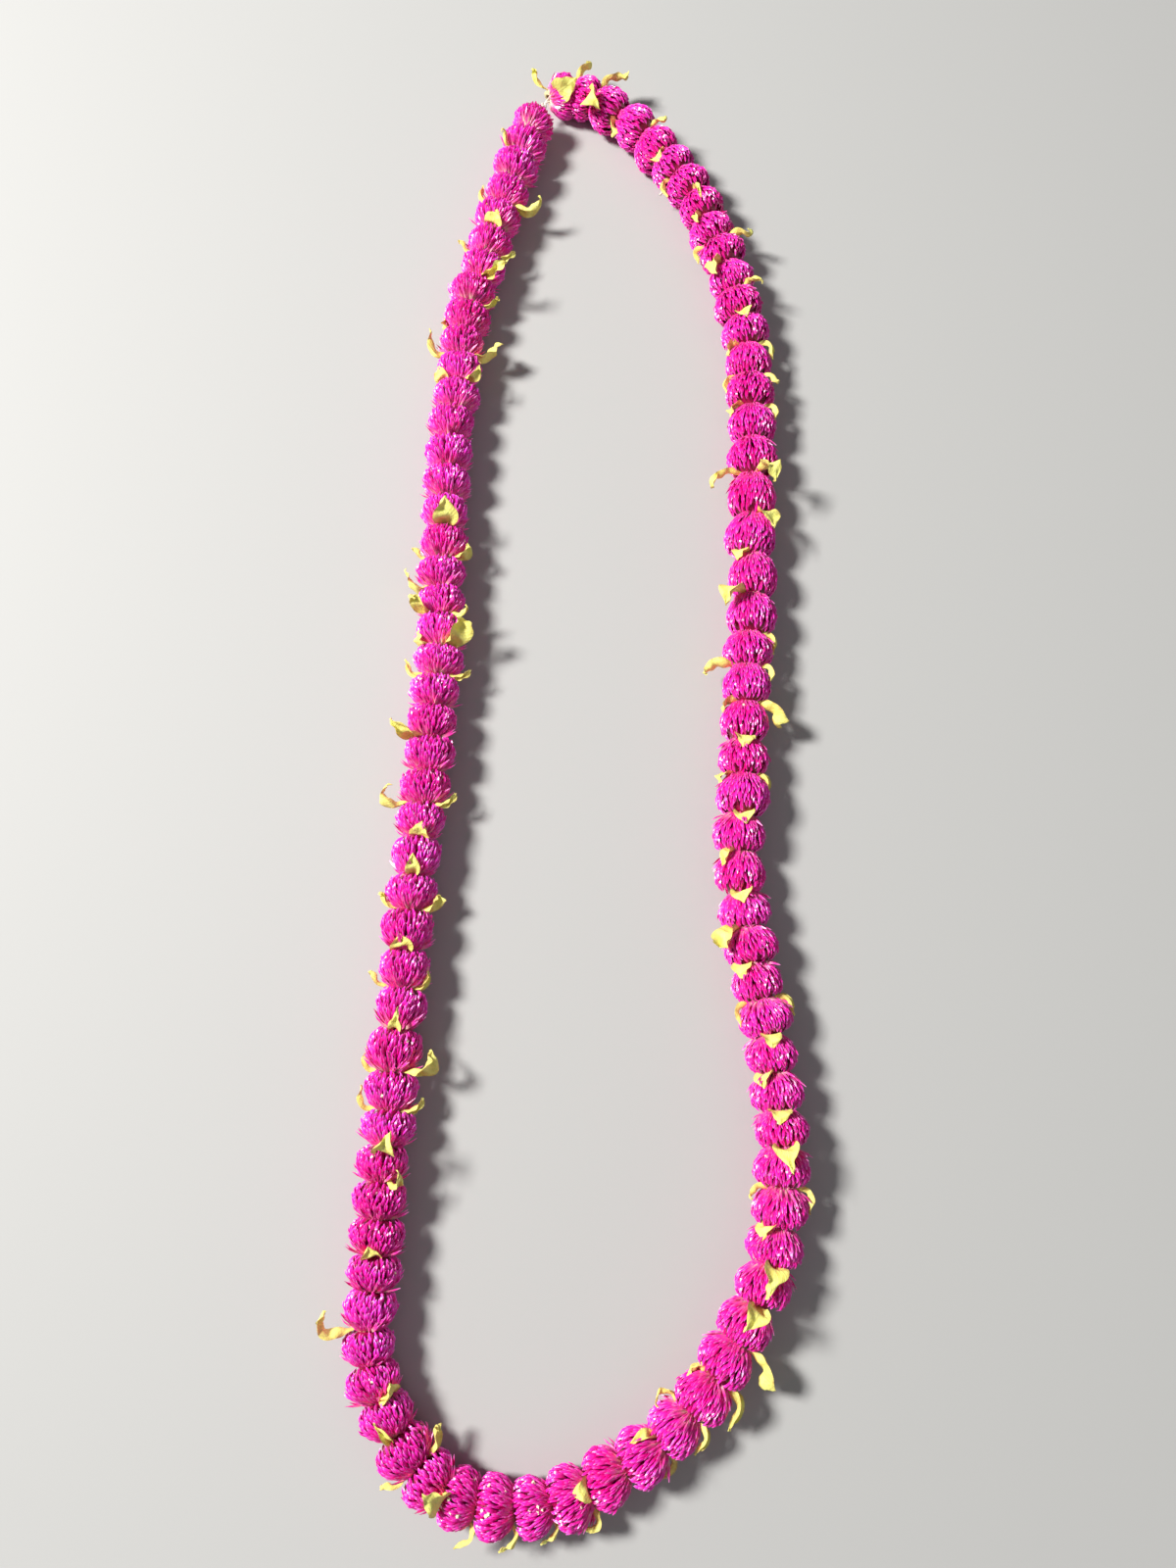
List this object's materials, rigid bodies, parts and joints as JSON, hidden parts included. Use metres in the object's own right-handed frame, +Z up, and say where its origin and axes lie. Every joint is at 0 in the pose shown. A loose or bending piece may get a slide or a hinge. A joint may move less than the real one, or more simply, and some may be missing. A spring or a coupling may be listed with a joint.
{
  "type": "fresh flower lei",
  "caption": "Closed lei of globe amaranth heads strung head to tail on cotton thread, with pale leafy bracts between them, laid flat as a long loop.",
  "frame": {"origin": "on the surface that the lei lies on, under the centre of its outline", "axes": "+Z up from the surface, +Y along the loop's length towards the tied joint, +X across it"},
  "size_m": [0.1644, 0.5684, 0.0272],
  "materials": {
    "flower_bracts": "papery, slightly glossy",
    "leafy_bracts": "matt leaf, dry at the edges",
    "cotton": "twisted thread"
  },
  "bodies": {
    "root": {"flower_heads_01": "flower_bracts", "flower_heads_02": "flower_bracts", "flower_heads_03": "flower_bracts", "flower_heads_04": "flower_bracts", "flower_heads_05": "flower_bracts", "flower_heads_06": "flower_bracts", "flower_heads_07": "flower_bracts", "flower_heads_08": "flower_bracts", "flower_heads_09": "flower_bracts", "flower_heads_10": "flower_bracts", "flower_heads_11": "flower_bracts", "flower_heads_12": "flower_bracts", "flower_heads_13": "flower_bracts", "flower_heads_14": "flower_bracts", "flower_heads_15": "flower_bracts", "flower_heads_16": "flower_bracts", "flower_heads_17": "flower_bracts", "flower_heads_18": "flower_bracts", "flower_heads_19": "flower_bracts", "flower_heads_20": "flower_bracts", "flower_heads_21": "flower_bracts", "flower_heads_22": "flower_bracts", "flower_heads_23": "flower_bracts", "leafy_bracts_01": "leafy_bracts", "leafy_bracts_02": "leafy_bracts", "leafy_bracts_03": "leafy_bracts", "leafy_bracts_04": "leafy_bracts", "leafy_bracts_05": "leafy_bracts", "leafy_bracts_06": "leafy_bracts", "leafy_bracts_07": "leafy_bracts", "leafy_bracts_08": "leafy_bracts", "leafy_bracts_09": "leafy_bracts", "leafy_bracts_10": "leafy_bracts", "leafy_bracts_11": "leafy_bracts", "leafy_bracts_12": "leafy_bracts", "leafy_bracts_13": "leafy_bracts", "leafy_bracts_14": "leafy_bracts", "leafy_bracts_15": "leafy_bracts", "leafy_bracts_16": "leafy_bracts", "leafy_bracts_17": "leafy_bracts", "leafy_bracts_18": "leafy_bracts", "leafy_bracts_19": "leafy_bracts", "leafy_bracts_20": "leafy_bracts", "leafy_bracts_21": "leafy_bracts", "leafy_bracts_22": "leafy_bracts", "leafy_bracts_23": "leafy_bracts", "cotton_thread": "cotton"}
  },
  "joints": []
}
